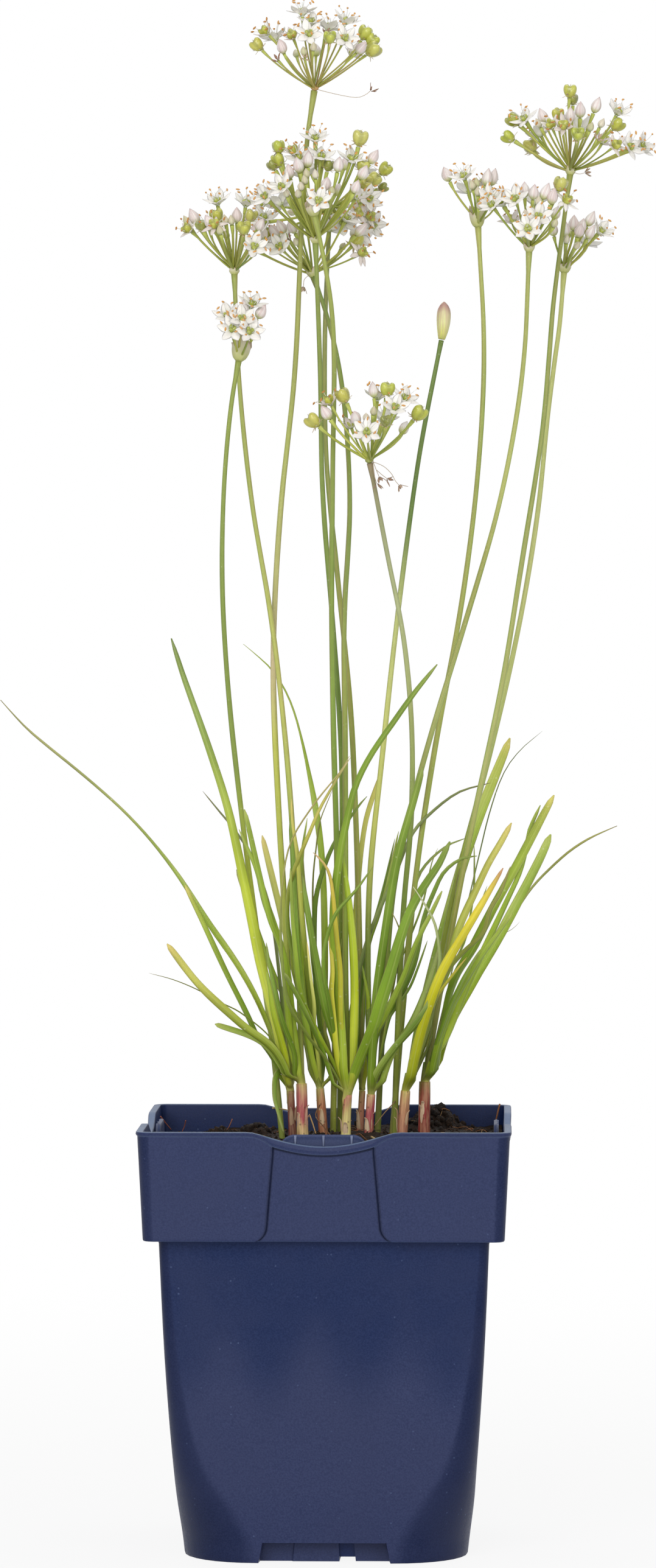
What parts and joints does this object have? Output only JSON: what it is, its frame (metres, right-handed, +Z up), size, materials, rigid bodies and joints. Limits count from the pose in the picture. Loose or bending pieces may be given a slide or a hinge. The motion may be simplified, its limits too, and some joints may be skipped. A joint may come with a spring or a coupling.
{
  "type": "potted garlic chives",
  "caption": "Clump of garlic chives in flower: strap leaves and tall scapes with starry white umbels, growing in a square, tapered plastic nursery pot with a deep collar.",
  "frame": {"origin": "middle of the pot's base, on the surface that it stands on", "axes": "+Z up through the plant, front of the pot towards -Y, +X to the right as seen from the front"},
  "size_m": [0.1914, 0.11, 0.4656],
  "materials": {
    "pot": "moulded navy blue plastic with a fine speckle, satin",
    "soil": "dark crumbly peat compost, matte",
    "sheath": "striated leaf sheath, pink to cream, satin",
    "scape": "smooth green flower stalk, satin",
    "flower": "white petals on green rays, matte",
    "bud": "papery green bud with a pinkish tip, matte",
    "leaf": "fresh green strap leaf with fine veins, satin"
  },
  "bodies": {
    "root": {"closed_bud": "bud", "flower_head_01": "flower", "flower_head_02": "flower", "flower_head_03": "flower", "flower_head_04": "flower", "flower_head_05": "flower", "flower_head_06": "flower", "flower_head_07": "flower", "flower_head_08": "flower", "flower_head_10": "flower", "flower_head_11": "flower", "flower_head_12": "flower", "flower_head_13": "flower", "leaf_01": "leaf", "leaf_02": "leaf", "leaf_03": "leaf", "leaf_04": "leaf", "leaf_05": "leaf", "leaf_06": "leaf", "leaf_07": "leaf", "leaf_08": "leaf", "leaf_09": "leaf", "leaf_10": "leaf", "leaf_11": "leaf", "leaf_12": "leaf", "leaf_13": "leaf", "leaf_14": "leaf", "leaf_15": "leaf", "leaf_16": "leaf", "leaf_17": "leaf", "leaf_18": "leaf", "leaf_19": "leaf", "leaf_20": "leaf", "leaf_21": "leaf", "leaf_22": "leaf", "leaf_23": "leaf", "pot": "pot", "scape_01": "scape", "scape_02": "scape", "scape_03": "scape", "scape_04": "scape", "scape_05": "scape", "scape_06": "scape", "scape_07": "scape", "scape_08": "scape", "scape_09": "scape", "scape_10": "scape", "scape_11": "scape", "scape_12": "scape", "scape_13": "scape", "sheath_cream": "sheath", "sheath_left": "sheath", "sheath_pink": "sheath", "sheath_red": "sheath", "sheath_rose": "sheath", "sheath_slim": "sheath", "sheath_tan": "sheath", "sheath_tawny": "sheath", "soil": "soil"}
  },
  "joints": []
}
